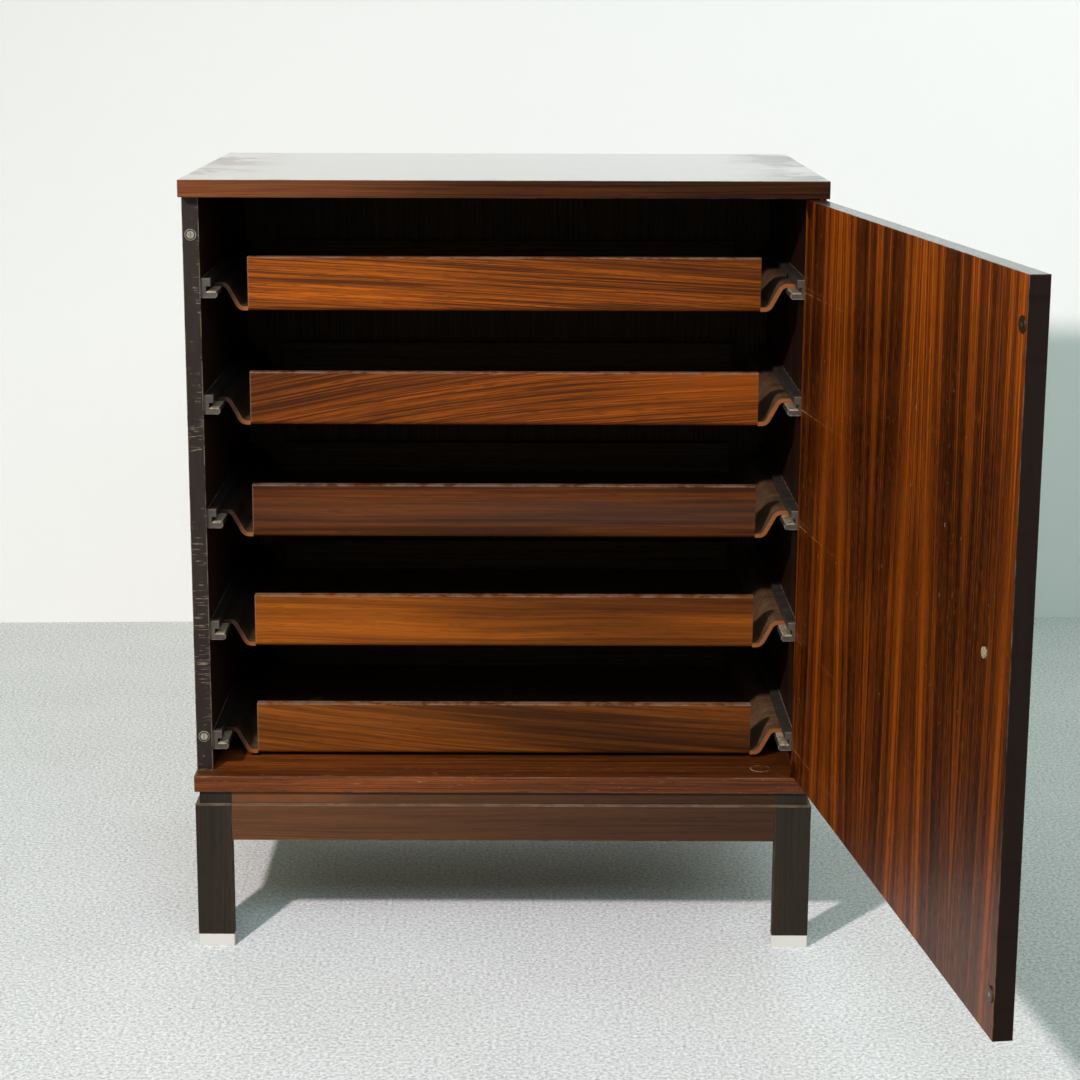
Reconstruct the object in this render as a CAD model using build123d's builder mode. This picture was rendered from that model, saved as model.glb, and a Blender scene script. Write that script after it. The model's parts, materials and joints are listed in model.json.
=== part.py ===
from build123d import *
from math import asin, cos, degrees, radians, sin, sqrt
import os

# A low cabinet of dark veneered board on a square leg frame. One door on pivots is open past
# a right angle and shows five moulded plywood trays that slide in grooved rails.
# X runs to the right, Y to the back and Z up from the floor. All lengths are millimetres.

# Carcass
cabinet_width = 720
cabinet_depth = 460
cabinet_height = 900
board_thickness = 19.4
board_round = 0.9
side_thickness = 18.8
side_inset = 1
side_round = 0.6
front_recess = 21.6
back_thickness = 6
back_inset = 2
back_rebate = 9
back_fit = 0.3
dowel_radius = 4
dowel_length = 30
dowel_depth = 12
dowel_margin = 50
dowels_per_joint = 4
hole_clearance = 0.05
back_screw_margin = 45
back_screws_per_side = 5

# Leg frame
carcass_foot = 191.2
frame_inset = 0.5
leg_width = 42.5
leg_round = 1.5
apron_height = 58.8
frame_board = 14
rebate_depth = 5
rebate_height = 16
tenon_length = 20
tenon_height = 34
tenon_thickness = 5
tenon_set_back = 5.5
shoe_height = 15
shoe_round = 1.2
shoe_pin_radius = 3
shoe_pin_length = 12
corner_block_length = 60
corner_block_width = 38
corner_block_height = 40
frame_screw_from_leg = 15

# Plugs over the frame screws in the bottom board
plug_radius = 12
plug_depth = 4
plug_rise = 0.4
plug_gap = 1
plug_round = 0.3

# Door
door_thickness = 18.8
door_side_gap = 1
door_gap = 1.2
door_round = 0.7
door_open_angle = 97.7
pivot_from_end = 8
pivot_from_face = 4

# Pivots
pin_radius = 2
pin_engagement = 6
pin_chamfer = 0.4
pin_bore_radius = 2.6
pin_bore_depth = 8
running_clearance = 0.04
plate_thickness = 2
plate_margin = 2.6
plate_corner = 2.4
pivot_plate_length = 20
pivot_plate_width = 16.6
pivot_screw_margin = 5.4
pivot_screw_spacing = 11
door_plate_length = 25
door_plate_reach = 6.5
door_plate_drop = 8
door_screw_spacing = 10
door_screw_in = 11
washer_radius = 3.6
washer_clearance = 0.05

# Magnetic catches
magnet_above_bottom_board = 41.7
magnet_below_top_board = 43.1
magnet_radius = 6.6
magnet_rise = 1.2
magnet_body_radius = 5.4
magnet_body_length = 13
magnet_groove_outer = 5.2
magnet_groove_inner = 4.4
magnet_groove_depth = 0.5
magnet_slot_width = 1.2
magnet_slot_depth = 0.5
magnet_round = 0.3
strike_radius = 7.5
strike_thickness = 1.4
strike_round = 0.3

# Pull
knob_below_middle = 1.2
knob_from_edge = 65
knob_neck = 7
knob_radius = 12
knob_projection = 22
knob_round = 1.2
knob_dome = 32
knob_flare = 11
knob_screw_radius = 2
knob_screw_grip = 12
knob_head_radius = 5.2
knob_head_height = 1.6

# Screws
small_screw_radius = 1.25
small_head_radius = 2.4
small_head_height = 0.9
small_screw_length = 12
wood_screw_radius = 1.75
wood_head_radius = 3.2
wood_head_height = 2
wood_screw_length = 20
frame_screw_radius = 2.5
frame_head_radius = 5
frame_head_height = 3
frame_screw_length = 34
screw_tip = 0.5
slot_width = 0.9
slot_depth = 0.5

# Rails and glides
rail_count = 5
top_rail_drop = 92.6
low_rail_rise = 46.6
rail_front_inset = 5
rail_back_gap = 10
rail_height = 22
rail_width = 18
rail_web = 5.4
rail_lip_width = 10.5
rail_lip_thickness = 8.8
rail_slot_height = 7.3
rail_chamfer = 2
rail_screws_per_rail = 3
rail_screw_margin = 40
glide_length = 60
glide_width = 11
glide_height = 1.7
glide_round = 0.9
glide_inset = 0.6
glide_gap = 0.2

# Trays
tray_inset = 72
tray_rear_gap = 8
tray_ply = 4.8
tray_side_play = 1.8
tray_lift = 0.06
tray_drop = 27.6
tray_lip_width = 15.2
tray_slope_run = 15
tray_bend = 9
tray_front_set_in = 9.6
tray_front_height = 61.5
tray_front_thickness = 12
tray_front_toe = 5
tray_front_round = 0.9
tray_back_height = 44
tray_back_round = 0.9

# One overrun for every cut that runs out of a face
overrun = 2

# Derived heights and edges
half_width = cabinet_width / 2
half_depth = cabinet_depth / 2
floor_top = carcass_foot + board_thickness
ceiling = cabinet_height - board_thickness
opening_height = ceiling - floor_top
side_outer = half_width - side_inset
side_inner = side_outer - side_thickness
side_middle = side_outer - side_thickness / 2
side_front = -half_depth + front_recess
side_depth = half_depth - side_front
back_face = half_depth - back_inset
back_front = back_face - back_thickness
apron_foot = carcass_foot - apron_height

# Door measures along the door from its axis, and across it from the axis
door_width = cabinet_width - 2 * door_side_gap
door_height = opening_height - 2 * door_gap
door_foot = floor_top + door_gap
door_head = ceiling - door_gap
door_free = door_width - pivot_from_end
door_outer = pivot_from_face
door_inner = pivot_from_face - door_thickness
door_middle = door_free - door_width / 2
pivot_x = half_width - door_side_gap - pivot_from_end
pivot_y = -half_depth + pivot_from_face
swing = radians(door_open_angle - 90)
knob_along = door_free - knob_from_edge
knob_height = (floor_top + ceiling) / 2 - knob_below_middle
strike_along = pivot_x + side_middle

# The origin is midway between the outermost faces of the whole cabinet with its door open
knob_dome_centre = door_outer + knob_projection - knob_dome
right_reach = pivot_x + knob_along * sin(swing) + knob_dome_centre * cos(swing) + knob_dome
corner_loss = door_round * (cos(swing) + sin(swing) - 1)
front_reach = pivot_y - door_free * cos(swing) + door_inner * sin(swing) + corner_loss
carcass_x = (half_width - right_reach) / 2
carcass_y = -(half_depth + front_reach) / 2

middle = (carcass_x, carcass_y, 0)
level = Plane(origin=middle, x_dir=(1, 0, 0), z_dir=(0, 0, 1))
under = Plane(origin=middle, x_dir=(1, 0, 0), z_dir=(0, 0, -1))
facing = Plane(origin=middle, x_dir=(1, 0, 0), z_dir=(0, -1, 0))
across = Plane(origin=middle, x_dir=(0, 1, 0), z_dir=(1, 0, 0))
hinge_point = (carcass_x + pivot_x, carcass_y + pivot_y, 0)
along_door = (sin(swing), -cos(swing), 0)
out_of_door = (cos(swing), sin(swing), 0)
door_level = Plane(origin=hinge_point, x_dir=along_door, z_dir=(0, 0, 1))
door_inside = Plane(origin=hinge_point, x_dir=along_door, z_dir=(-cos(swing), -sin(swing), 0))


def block(plane, centre, length, width, height, mode=Mode.ADD):
    """Add a block that stands on a plane to the part being built, or cut it away."""
    with BuildSketch(plane) as foot:
        with Locations(centre):
            Rectangle(length, width)
    extrude(foot.sketch, amount=height, mode=mode)


def round_upright(radius):
    """Round the upright edges of the part being built."""
    fillet(edges().filter_by(Axis.Z), radius)


def cut_holes(seats, radius, depth):
    """Bore a round hole into the part being built, down from each seat or up from it."""
    for seat in seats:
        with BuildSketch(seat) as mouth:
            Circle(radius + hole_clearance)
        extrude(mouth.sketch, amount=-depth, mode=Mode.SUBTRACT)


def screws(seats, radius, length, head_radius, head_height):
    """Slotted screws, each with the underside of its head on a seat."""
    with BuildPart() as built:
        for seat in seats:
            with BuildSketch(seat):
                Circle(head_radius)
            extrude(amount=head_height)
            with BuildSketch(seat):
                Circle(radius)
            extrude(amount=-(length - screw_tip))
            with BuildSketch(seat.offset(-(length - screw_tip))):
                Circle(radius)
            extrude(amount=-screw_tip, taper=45)
            with BuildSketch(seat.offset(head_height)):
                Rectangle(slot_width, 2 * head_radius)
            extrude(amount=-min(slot_depth, head_height / 2), mode=Mode.SUBTRACT)
    return built


def moved_plane(plane, x, y, z):
    """A plane parallel to the given one, at a place in its own directions."""
    return Plane(origin=plane.from_local_coords((x, y, z)), x_dir=plane.x_dir, z_dir=plane.z_dir)


def finish(built, name):
    """Label a piece and write it to its own file."""
    built.part.label = name
    export_step(built.part, f"parts/{name}.step")


os.makedirs("parts", exist_ok=True)

# Places that several pieces share
dowel_span = side_depth - 2 * dowel_margin
dowel_spots = []
for hand in (-1, 1):
    for n in range(dowels_per_joint):
        share = n / (dowels_per_joint - 1)
        dowel_spots.append((hand * side_middle, side_front + dowel_margin + share * dowel_span))

rebate_middle = side_inner + back_rebate / 2
back_screw_span = opening_height - 2 * back_screw_margin
back_seats = []
for hand in (-1, 1):
    for n in range(back_screws_per_side):
        share = n / (back_screws_per_side - 1)
        height = floor_top + back_screw_margin + share * back_screw_span
        rear = Plane(origin=middle, x_dir=(-1, 0, 0), z_dir=(0, 1, 0))
        back_seats.append(moved_plane(rear, -hand * rebate_middle, height, back_face))

leg_inner_x = half_width - frame_inset - leg_width
leg_inner_y = half_depth - frame_inset - leg_width
apron_inner_y = half_depth - frame_inset - frame_board
corner_block_y = apron_inner_y - corner_block_width / 2
frame_screw_x = leg_inner_x - frame_screw_from_leg
plug_spots = []
for hand in (-1, 1):
    for side in (-1, 1):
        plug_spots.append((hand * frame_screw_x, side * corner_block_y))
frame_seat_height = floor_top - plug_depth - plug_gap - frame_head_height
frame_seats = [moved_plane(level, x, y, frame_seat_height) for x, y in plug_spots]

pivot_plate_x = pivot_x + plate_margin + plate_corner / 2 - pivot_plate_length / 2
pivot_plate_y = pivot_y - plate_margin + pivot_plate_width / 2
pivot_screw_y = pivot_y - plate_margin + pivot_plate_width - pivot_screw_margin
pivot_screw_x = pivot_x - pivot_screw_spacing
upper_pivot_seats = []
lower_pivot_seats = []
for x in (pivot_screw_x, pivot_x):
    upper_pivot_seats.append(moved_plane(under, x, -pivot_screw_y, -(ceiling + small_head_height)))
    lower_pivot_seats.append(moved_plane(level, x, pivot_screw_y, floor_top - small_head_height))

plate_centre = door_plate_length / 2 - door_plate_reach
upper_door_seats = []
lower_door_seats = []
for hand in (-1, 1):
    along = plate_centre + hand * door_screw_spacing / 2
    upper = moved_plane(door_inside, along, door_head - door_screw_in, -door_inner - small_head_height)
    lower = moved_plane(door_inside, along, door_foot + door_screw_in, -door_inner - small_head_height)
    upper_door_seats.append(upper)
    lower_door_seats.append(lower)

magnet_heights = (floor_top + magnet_above_bottom_board, ceiling - magnet_below_top_board)
strike_faces = []
strike_seats = []
magnet_faces = []
for height in magnet_heights:
    face = moved_plane(door_inside, strike_along, height, -door_inner)
    strike_faces.append(face)
    strike_seats.append(face.offset(strike_thickness - small_head_height))
    magnet_faces.append(moved_plane(facing, -side_middle, height, -side_front))

knob_seat = moved_plane(door_inside, knob_along, knob_height, -door_inner)

rail_front = side_front + rail_front_inset
rail_length = back_front - rail_back_gap - rail_front
rail_pitch = (opening_height - top_rail_drop - low_rail_rise) / (rail_count - 1)
rail_tops = [ceiling - top_rail_drop - n * rail_pitch for n in range(rail_count)]
rail_names = [str(n + 1) for n in range(rail_count)]
slot_top = rail_lip_thickness
slot_foot = rail_lip_thickness + rail_slot_height
slot_middle = slot_top + rail_slot_height / 2
rail_seat_x = side_inner - rail_web + wood_head_height
left_rail_seats = []
right_rail_seats = []
for top in rail_tops:
    for n in range(rail_screws_per_rail):
        share = n / (rail_screws_per_rail - 1)
        y = rail_front + rail_screw_margin + share * (rail_length - 2 * rail_screw_margin)
        away = Plane(origin=middle, x_dir=(0, -1, 0), z_dir=(-1, 0, 0))
        left_rail_seats.append(moved_plane(across, y, top - slot_middle, -rail_seat_x))
        right_rail_seats.append(moved_plane(away, -y, top - slot_middle, -rail_seat_x))

# Boards at the top and the bottom, which cover the ends of the sides
with BuildPart() as top_board:
    block(level.offset(ceiling), (0, 0), cabinet_width, cabinet_depth, board_thickness)
    fillet(edges(), board_round)
    cut_holes([moved_plane(level, x, y, ceiling) for x, y in dowel_spots], dowel_radius, -dowel_depth)
    with BuildSketch(level.offset(ceiling)):
        with Locations((pivot_plate_x, pivot_plate_y)):
            RectangleRounded(pivot_plate_length, pivot_plate_width, plate_corner)
    extrude(amount=plate_thickness, mode=Mode.SUBTRACT)
    cut_holes(upper_pivot_seats, small_screw_radius, small_screw_length)
finish(top_board, "top_board")

with BuildPart() as bottom_board:
    block(level.offset(carcass_foot), (0, 0), cabinet_width, cabinet_depth, board_thickness)
    fillet(edges(), board_round)
    cut_holes([moved_plane(level, x, y, floor_top) for x, y in dowel_spots], dowel_radius, dowel_depth)
    with BuildSketch(level.offset(floor_top)):
        with Locations((pivot_plate_x, pivot_plate_y)):
            RectangleRounded(pivot_plate_length, pivot_plate_width, plate_corner)
    extrude(amount=-plate_thickness, mode=Mode.SUBTRACT)
    cut_holes(lower_pivot_seats, small_screw_radius, small_screw_length)
    cut_holes([moved_plane(level, x, y, floor_top) for x, y in plug_spots], plug_radius, plug_depth)
    cut_holes(frame_seats, frame_screw_radius, frame_screw_length)
    cut_holes(frame_seats, frame_head_radius, -(frame_head_height + plug_gap))
finish(bottom_board, "bottom_board")

# Sides, rebated at the back for the rear panel
dowel_in_side = dowel_length - dowel_depth
for hand, name in ((-1, "left_side"), (1, "right_side")):
    with BuildPart() as panel:
        centre = (hand * side_middle, (side_front + half_depth) / 2)
        block(level.offset(floor_top), centre, side_thickness, side_depth, opening_height)
        fillet(panel.edges().filter_by(Axis.Z).group_by(Axis.Y)[0], side_round)
        rebate = (hand * rebate_middle, (back_front + half_depth + overrun) / 2)
        rebate_reach = half_depth + overrun - back_front
        block(level.offset(floor_top), rebate, back_rebate, rebate_reach, opening_height, Mode.SUBTRACT)
        ends = [spot for spot in dowel_spots if spot[0] * hand > 0]
        cut_holes([moved_plane(level, x, y, floor_top) for x, y in ends], dowel_radius, -dowel_in_side)
        cut_holes([moved_plane(level, x, y, ceiling) for x, y in ends], dowel_radius, dowel_in_side)
        if hand < 0:
            cut_holes(magnet_faces, magnet_body_radius, magnet_body_length)
            cut_holes(left_rail_seats, wood_screw_radius, wood_screw_length)
            cut_holes(back_seats[:back_screws_per_side], wood_screw_radius, wood_screw_length)
        else:
            cut_holes(right_rail_seats, wood_screw_radius, wood_screw_length)
            cut_holes(back_seats[back_screws_per_side:], wood_screw_radius, wood_screw_length)
    finish(panel, name)

with BuildPart() as back_panel:
    back_width = 2 * (side_inner + back_rebate - back_fit)
    centre = (0, (back_front + back_face) / 2)
    block(level.offset(floor_top), centre, back_width, back_thickness, opening_height)
    cut_holes(back_seats, wood_screw_radius, wood_screw_length)
finish(back_panel, "back_panel")

with BuildPart() as carcass_dowels:
    for x, y in dowel_spots:
        for foot in (floor_top - dowel_depth, ceiling - dowel_in_side):
            with BuildSketch(moved_plane(level, x, y, foot)):
                Circle(dowel_radius)
            extrude(amount=dowel_length)
finish(carcass_dowels, "carcass_dowels")

back_screws = screws(back_seats, wood_screw_radius, wood_screw_length, wood_head_radius, wood_head_height)
finish(back_screws, "back_screws")

# Leg frame: a rebate runs round its top outside edge and leaves a shadow line below the carcass
frame_foot = shoe_height
shoe_pin_x = half_width - frame_inset - frame_board / 2
shoe_pin_y = half_depth - frame_inset - frame_board / 2
rebate_foot = carcass_foot - rebate_height
frame_length = 2 * (half_width - frame_inset)
frame_depth = 2 * (half_depth - frame_inset)
tenon_foot = (apron_foot + rebate_foot - tenon_height) / 2
tenon_centre = frame_inset + tenon_set_back + tenon_thickness / 2


def leg_section(hand, side):
    """Angle section of a leg: two boards that meet at the outer corner."""
    outer_x = hand * (half_width - frame_inset)
    outer_y = side * (half_depth - frame_inset)
    with BuildSketch(level) as section:
        with Locations((outer_x - hand * leg_width / 2, outer_y - side * frame_board / 2)):
            Rectangle(leg_width, frame_board)
        with Locations((outer_x - hand * frame_board / 2, outer_y - side * leg_width / 2)):
            Rectangle(frame_board, leg_width)
    return section


def cut_rebate():
    """Cut the rebate round the top outside edge of the leg frame from the part being built."""
    with BuildSketch(level.offset(rebate_foot)) as ring:
        Rectangle(frame_length + overrun, frame_depth + overrun)
        Rectangle(frame_length - 2 * rebate_depth, frame_depth - 2 * rebate_depth, mode=Mode.SUBTRACT)
    extrude(ring.sketch, amount=rebate_height + overrun, mode=Mode.SUBTRACT)


leg_names = {
    (-1, -1): "front_left_leg",
    (1, -1): "front_right_leg",
    (-1, 1): "back_left_leg",
    (1, 1): "back_right_leg",
}
for (hand, side), name in leg_names.items():
    with BuildPart() as leg:
        section = leg_section(hand, side)
        extrude(section.sketch.moved(Location((0, 0, frame_foot))), amount=carcass_foot - frame_foot)
        round_upright(leg_round)
        cut_rebate()
        along = (hand * (leg_inner_x + (tenon_length - overrun) / 2), side * (half_depth - tenon_centre))
        reach = tenon_length + overrun
        fit = 2 * hole_clearance
        slot_foot_level = level.offset(tenon_foot - hole_clearance)
        block(slot_foot_level, along, reach, tenon_thickness + fit, tenon_height + fit, Mode.SUBTRACT)
        along = (hand * (half_width - tenon_centre), side * (leg_inner_y + (tenon_length - overrun) / 2))
        block(slot_foot_level, along, tenon_thickness + fit, reach, tenon_height + fit, Mode.SUBTRACT)
        pin_spot = (hand * shoe_pin_x, side * shoe_pin_y)
        cut_holes([moved_plane(level, *pin_spot, shoe_height)], shoe_pin_radius, -shoe_pin_length)
    finish(leg, name)

with BuildPart() as leg_shoes:
    for hand, side in leg_names:
        section = leg_section(hand, side)
        extrude(section.sketch, amount=shoe_height)
        with BuildSketch(moved_plane(level, hand * shoe_pin_x, side * shoe_pin_y, shoe_height)):
            Circle(shoe_pin_radius)
        extrude(amount=shoe_pin_length)
    shoe_edges = leg_shoes.edges().filter_by(GeomType.LINE)
    fillet(shoe_edges.filter_by(Axis.Z), leg_round)
    chamfer(leg_shoes.faces().sort_by(Axis.Z)[0].edges(), shoe_round)
finish(leg_shoes, "leg_shoes")

apron_gap = 2 * leg_inner_x
apron_span = 2 * leg_inner_y
for side, name in ((-1, "front_apron"), (1, "back_apron")):
    with BuildPart() as apron:
        centre = (0, side * (half_depth - frame_inset - frame_board / 2))
        block(level.offset(apron_foot), centre, apron_gap, frame_board, apron_height)
        cut_rebate()
        centre = (0, side * (half_depth - tenon_centre))
        tenon_span = apron_gap + 2 * tenon_length - 2 * hole_clearance
        block(level.offset(tenon_foot), centre, tenon_span, tenon_thickness, tenon_height)
    finish(apron, name)
for hand, name in ((-1, "left_apron"), (1, "right_apron")):
    with BuildPart() as apron:
        centre = (hand * (half_width - frame_inset - frame_board / 2), 0)
        block(level.offset(apron_foot), centre, frame_board, apron_span, apron_height)
        cut_rebate()
        centre = (hand * (half_width - tenon_centre), 0)
        tenon_span = apron_span + 2 * tenon_length - 2 * hole_clearance
        block(level.offset(tenon_foot), centre, tenon_thickness, tenon_span, tenon_height)
    finish(apron, name)

# Corner blocks behind the front and back aprons take the screws from the bottom board
with BuildPart() as corner_blocks:
    block_middle_x = leg_inner_x - corner_block_length / 2
    for hand in (-1, 1):
        for side in (-1, 1):
            centre = (hand * block_middle_x, side * corner_block_y)
            foot = level.offset(carcass_foot - corner_block_height)
            block(foot, centre, corner_block_length, corner_block_width, corner_block_height)
    cut_holes(frame_seats, frame_screw_radius, frame_screw_length)
finish(corner_blocks, "corner_blocks")

frame_screws = screws(
    frame_seats, frame_screw_radius, frame_screw_length, frame_head_radius, frame_head_height
)
finish(frame_screws, "frame_screws")

with BuildPart() as board_plugs:
    for x, y in plug_spots:
        with BuildSketch(moved_plane(level, x, y, floor_top - plug_depth)):
            Circle(plug_radius)
        extrude(amount=plug_depth + plug_rise)
    rims = board_plugs.edges().filter_by(GeomType.CIRCLE).group_by(Axis.Z)[-1]
    chamfer(rims, plug_round)
finish(board_plugs, "board_plugs")

# Door, with let-in angle plates at its hinge corners
def plate_outline(edge_height, inward):
    """Round-ended tab of a door plate, down or up from the edge of the door's inner face."""
    with BuildSketch(door_inside.offset(-door_inner)) as tab:
        with Locations((plate_centre, edge_height + inward * door_plate_drop / 2)):
            Rectangle(door_plate_length, door_plate_drop)
        with Locations((plate_centre, edge_height + inward * door_plate_drop)):
            Circle(door_plate_length / 2)
        with Locations((plate_centre, edge_height - inward * door_plate_length / 2)):
            Rectangle(door_plate_length, door_plate_length, mode=Mode.SUBTRACT)
    return tab


def plate_flange(edge_height):
    """Flange of a door plate, which lies on the door's end and carries the eye of the pivot."""
    with BuildSketch(door_level.offset(edge_height)) as flange:
        with Locations((plate_centre, (plate_margin + door_inner) / 2)):
            Rectangle(door_plate_length, plate_margin - door_inner)
    return flange


with BuildPart() as door:
    centre = (door_middle, (door_outer + door_inner) / 2)
    block(door_level.offset(door_foot), centre, door_width, door_thickness, door_height)
    fillet(door.edges(), door_round)
    for edge_height, inward in ((door_head, -1), (door_foot, 1)):
        tab = plate_outline(edge_height, inward)
        extrude(tab.sketch, amount=-plate_thickness, mode=Mode.SUBTRACT)
        flange = plate_flange(edge_height)
        extrude(flange.sketch, amount=inward * plate_thickness, mode=Mode.SUBTRACT)
        cut_holes([moved_plane(door_level, 0, 0, edge_height)], pin_bore_radius, -inward * pin_bore_depth)
    cut_holes(upper_door_seats + lower_door_seats, small_screw_radius, small_screw_length)
    cut_holes(strike_seats, small_screw_radius, small_screw_length)
    cut_holes([knob_seat], knob_screw_radius, door_thickness + overrun)
finish(door, "door")

plate_sides = (
    ("upper_door_plate", door_head, -1, upper_door_seats),
    ("lower_door_plate", door_foot, 1, lower_door_seats),
)
for name, edge_height, inward, seats in plate_sides:
    with BuildPart() as plate:
        tab = plate_outline(edge_height, inward)
        extrude(tab.sketch, amount=-plate_thickness)
        flange = plate_flange(edge_height)
        extrude(flange.sketch, amount=inward * plate_thickness)
        bend = door_level.from_local_coords((plate_centre, door_inner, edge_height))
        fillet(plate.edges().sort_by_distance(bend)[0], door_round)
        eye = [moved_plane(door_level, 0, 0, edge_height)]
        eye_radius = pin_radius + running_clearance - hole_clearance
        cut_holes(eye, eye_radius, -inward * (plate_thickness + overrun))
        cut_holes(seats, small_screw_radius, plate_thickness)
        cut_holes(seats, small_head_radius, -(small_head_height + overrun))
    finish(plate, name)

door_plate_screws = screws(
    upper_door_seats + lower_door_seats,
    small_screw_radius,
    small_screw_length,
    small_head_radius,
    small_head_height,
)
finish(door_plate_screws, "door_plate_screws")

# Pivot plates let into the boards, each with a pin that stands into the door
plate_sides = (
    ("upper_pivot_plate", ceiling, 1, upper_pivot_seats),
    ("lower_pivot_plate", floor_top, -1, lower_pivot_seats),
)
for name, face_height, inward, seats in plate_sides:
    with BuildPart() as plate:
        with BuildSketch(level.offset(face_height)):
            with Locations((pivot_plate_x, pivot_plate_y)):
                RectangleRounded(pivot_plate_length, pivot_plate_width, plate_corner)
        extrude(amount=inward * plate_thickness)
        cut_holes(seats, small_screw_radius, plate_thickness)
        cut_holes(seats, small_head_radius, -(small_head_height + overrun))
        with BuildSketch(moved_plane(level, pivot_x, pivot_y, face_height)):
            Circle(pin_radius)
        extrude(amount=-inward * (door_gap + pin_engagement))
        pin_rims = plate.edges().filter_by(GeomType.CIRCLE).group_by(Axis.Z)
        pin_rim = pin_rims[0] if inward > 0 else pin_rims[-1]
        chamfer(pin_rim, pin_chamfer)
    finish(plate, name)

pivot_plate_screws = screws(
    upper_pivot_seats + lower_pivot_seats,
    small_screw_radius,
    small_screw_length,
    small_head_radius,
    small_head_height,
)
finish(pivot_plate_screws, "pivot_plate_screws")

with BuildPart() as pivot_washer:
    with BuildSketch(moved_plane(level, pivot_x, pivot_y, floor_top)):
        Circle(washer_radius)
        Circle(pin_radius + running_clearance, mode=Mode.SUBTRACT)
    extrude(amount=door_gap - washer_clearance)
finish(pivot_washer, "pivot_washer")

# Magnets in the left side's front edge and the strikes that meet them on the door
with BuildPart() as catch_magnets:
    for face in magnet_faces:
        with BuildSketch(face):
            Circle(magnet_body_radius)
        extrude(amount=-magnet_body_length)
        with BuildSketch(face):
            Circle(magnet_radius)
        extrude(amount=magnet_rise)
    rims = catch_magnets.faces().group_by(Axis.Y)[0].edges()
    chamfer(rims, magnet_round)
    for face in magnet_faces:
        with BuildSketch(face.offset(magnet_rise)):
            Circle(magnet_groove_outer)
            Circle(magnet_groove_inner, mode=Mode.SUBTRACT)
        extrude(amount=-magnet_groove_depth, mode=Mode.SUBTRACT)
        with BuildSketch(face.offset(magnet_rise)):
            Rectangle(magnet_slot_width, 2 * magnet_groove_inner)
        extrude(amount=-magnet_slot_depth, mode=Mode.SUBTRACT)
finish(catch_magnets, "catch_magnets")

with BuildPart() as strike_plates:
    for face in strike_faces:
        with BuildSketch(face):
            Circle(strike_radius)
        extrude(amount=strike_thickness)
        with BuildSketch(face.offset(strike_thickness)):
            Circle(strike_radius)
            Circle(strike_radius - strike_round, mode=Mode.SUBTRACT)
        extrude(amount=-strike_round, mode=Mode.SUBTRACT)
    cut_holes(strike_seats, small_screw_radius, strike_thickness)
    cut_holes(strike_seats, small_head_radius, -(small_head_height + overrun))
finish(strike_plates, "strike_plates")

strike_screws = screws(
    strike_seats, small_screw_radius, small_screw_length, small_head_radius, small_head_height
)
finish(strike_screws, "strike_screws")

# Turned pull, held by a screw from inside the door
knob_foot = door_level.from_local_coords((knob_along, door_outer, knob_height))
knob_plane = Plane(origin=knob_foot, x_dir=along_door, z_dir=(0, 0, 1))
with BuildPart() as door_knob:
    with BuildSketch(knob_plane):
        with BuildLine():
            Line((0, 0), (knob_neck, 0))
            TangentArc((knob_neck, 0), (knob_radius, knob_flare), tangent=(0, 1))
            dome_start = knob_projection - knob_dome + sqrt(knob_dome**2 - knob_radius**2)
            Line((knob_radius, knob_flare), (knob_radius, dome_start))
            dome_turn = degrees(asin(knob_radius / knob_dome))
            CenterArc((0, knob_projection - knob_dome), knob_dome, 90 - dome_turn, dome_turn)
            Line((0, knob_projection), (0, 0))
        make_face()
    revolve(axis=Axis(knob_foot, out_of_door))
    rim = knob_plane.from_local_coords((knob_radius, dome_start, 0))
    fillet(door_knob.edges().filter_by(GeomType.CIRCLE).sort_by_distance(rim)[0], knob_round)
    cut_holes([Plane(origin=knob_foot, z_dir=out_of_door)], knob_screw_radius, -(knob_screw_grip + overrun))
finish(door_knob, "door_knob")

knob_screw = screws(
    [knob_seat],
    knob_screw_radius,
    door_thickness + knob_screw_grip,
    knob_head_radius,
    knob_head_height,
)
finish(knob_screw, "knob_screw")

# Rails: a grooved section with a short upper lip and a wide lower flange
rail_outline = (
    (0, 0),
    (rail_lip_width, 0),
    (rail_lip_width, rail_lip_thickness),
    (rail_web, rail_lip_thickness),
    (rail_web, slot_foot),
    (rail_width, slot_foot),
    (rail_width, rail_height - rail_chamfer),
    (rail_width - rail_chamfer, rail_height),
    (0, rail_height),
)
rail_sides = (("left", -1, left_rail_seats), ("right", 1, right_rail_seats))
for side_name, hand, seats in rail_sides:
    for n in range(rail_count):
        top = rail_tops[n]
        with BuildPart() as rail:
            with BuildSketch(facing.offset(-rail_front)):
                with BuildLine():
                    section = [(hand * (side_inner - x), top - z) for x, z in rail_outline]
                    Polyline(*section, close=True)
                make_face()
            extrude(amount=-rail_length)
            own_seats = seats[n * rail_screws_per_rail : (n + 1) * rail_screws_per_rail]
            cut_holes(own_seats, wood_screw_radius, rail_web)
            cut_holes(own_seats, wood_head_radius, -(wood_head_height + overrun))
        finish(rail, f"{side_name}_rail_{rail_names[n]}")

rail_screws = screws(
    left_rail_seats + right_rail_seats,
    wood_screw_radius,
    wood_screw_length,
    wood_head_radius,
    wood_head_height,
)
finish(rail_screws, "rail_screws")

glide_fronts = (rail_front + glide_inset, rail_front + rail_length - glide_inset - glide_length)
glide_x = side_inner - rail_web - glide_gap - glide_width / 2
with BuildPart() as rail_glides:
    for top in rail_tops:
        for hand in (-1, 1):
            for front in glide_fronts:
                centre = (hand * glide_x, front + glide_length / 2)
                block(level.offset(top - slot_foot), centre, glide_width, glide_length, glide_height)
    for group in rail_glides.faces().filter_by(Axis.Z).group_by(Axis.Z)[1::2]:
        chamfer(group.edges().filter_by(Axis.Y), glide_round)
finish(rail_glides, "rail_glides")

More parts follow.
